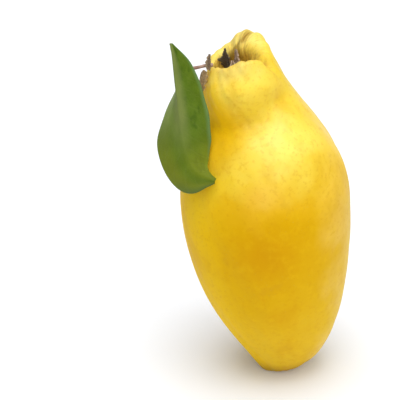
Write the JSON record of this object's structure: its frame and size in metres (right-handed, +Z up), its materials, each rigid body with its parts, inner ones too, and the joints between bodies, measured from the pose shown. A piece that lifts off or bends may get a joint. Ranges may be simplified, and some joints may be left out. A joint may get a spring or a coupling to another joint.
{
  "type": "quince",
  "caption": "Long pear-shaped ripe quince standing on a small flat spot, with dried calyx lobes in the furrowed basin on top and a leaf on its own stalk.",
  "frame": {"origin": "centre of the small flat spot at the stalk end on which the fruit rests", "axes": "+Z up from the resting spot to the calyx end, +X to the right, -Y towards the side where the leaf shows its upper face; the leaf is on the -X side"},
  "size_m": [0.0653, 0.0588, 0.1281],
  "materials": {
    "skin": "ripe golden yellow skin, softly glossy, with faint tan mottling and brown streaks in the basin",
    "woody_stalk": "dry brown wood, rough",
    "dried_stamens": "dry dark brown threads, rough",
    "dried_calyx": "dry, papery, grey-brown to nearly black, rough",
    "leaf_stalk": "reddish brown, smooth and slightly woolly",
    "leaf": "mid green, leathery, with a soft sheen above and paler and woolly beneath"
  },
  "bodies": {
    "root": {"fruit": "skin", "stalk_stub": "woody_stalk", "dried_stamens": "dried_stamens", "calyx_lobe_1": "dried_calyx", "calyx_lobe_2": "dried_calyx", "calyx_lobe_3": "dried_calyx", "calyx_lobe_4": "dried_calyx", "calyx_lobe_5": "dried_calyx", "leaf_stalk": "leaf_stalk", "leaf_blade": "leaf"}
  },
  "joints": []
}
